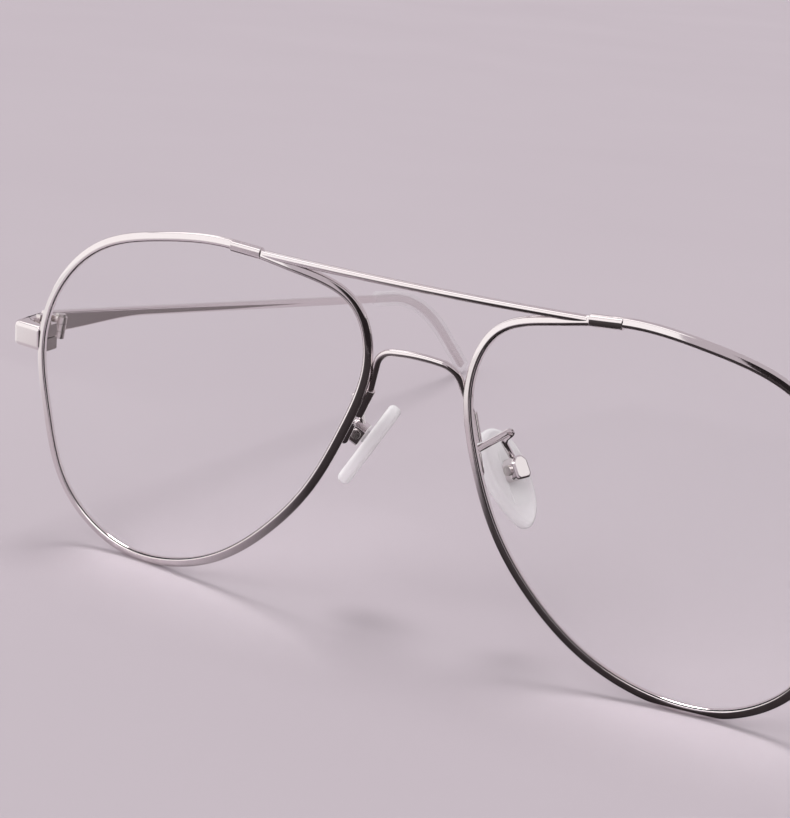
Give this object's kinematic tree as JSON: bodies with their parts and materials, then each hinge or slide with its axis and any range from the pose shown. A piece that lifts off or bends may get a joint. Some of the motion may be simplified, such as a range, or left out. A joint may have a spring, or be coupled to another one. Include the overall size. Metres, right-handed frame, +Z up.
{
  "type": "double bridge glasses",
  "caption": "Wire glasses with drop-shaped rims, a straight brow bar over a small lower bridge, clear lenses, rocking nose pads and folding temples.",
  "frame": {"origin": "centre of the bounding box in X and Y, at the level surface the open glasses stand on", "axes": "+X to the wearer's left, +Y back from the lenses to the temple tips, +Z up"},
  "size_m": [0.1424, 0.1534, 0.0527],
  "materials": {
    "frame_metal": "polished",
    "screw_steel": "polished",
    "lens": "clear",
    "clear_tip": "clear",
    "clear_pad": "clear soft",
    "pad_core": "clear"
  },
  "bodies": {
    "front": {"brow_bar": "frame_metal", "bridge": "frame_metal", "rim_screws": "screw_steel", "hinge_screws": "screw_steel", "pad_screws": "screw_steel", "rim_left": "frame_metal", "brow_sleeve_left": "frame_metal", "bridge_sleeve_left": "frame_metal", "pad_arm_left": "frame_metal", "pad_box_left": "frame_metal", "end_piece_left": "frame_metal", "closing_block_upper_left": "frame_metal", "closing_block_lower_left": "frame_metal", "front_hinge_left": "frame_metal", "rim_right": "frame_metal", "brow_sleeve_right": "frame_metal", "bridge_sleeve_right": "frame_metal", "pad_arm_right": "frame_metal", "pad_box_right": "frame_metal", "end_piece_right": "frame_metal", "closing_block_upper_right": "frame_metal", "closing_block_lower_right": "frame_metal", "front_hinge_right": "frame_metal", "lens_left": "lens", "lens_right": "lens"},
    "temple_left_body": {"temple_left": "frame_metal", "temple_hinge_left": "frame_metal", "temple_tip_left": "clear_tip"},
    "pad_left_body": {"nose_pad_left": "clear_pad", "pad_core_left": "pad_core"},
    "temple_right_body": {"temple_right": "frame_metal", "temple_hinge_right": "frame_metal", "temple_tip_right": "clear_tip"},
    "pad_right_body": {"nose_pad_right": "clear_pad", "pad_core_right": "pad_core"}
  },
  "joints": [
    {"name": "fold_left", "type": "hinge", "parent": "front", "child": "temple_left_body", "pos_m": [0.0668, -0.0654, 0.03165], "axis": [-0.061, 0.1169, 0.9913], "range_deg": [0, 84]},
    {"name": "fold_right", "type": "hinge", "parent": "front", "child": "temple_right_body", "pos_m": [-0.0668, -0.0654, 0.03165], "axis": [-0.061, -0.1169, -0.9913], "range_deg": [0, 79]},
    {"name": "rock_left", "type": "hinge", "parent": "front", "child": "pad_left_body", "pos_m": [0.01296, -0.0642, 0.02603], "axis": [-0.3001, -0.9519, -0.0613], "range_deg": [-10, 10]},
    {"name": "rock_right", "type": "hinge", "parent": "front", "child": "pad_right_body", "pos_m": [-0.01296, -0.0642, 0.02603], "axis": [-0.3001, 0.9519, 0.0613], "range_deg": [-10, 10]}
  ]
}
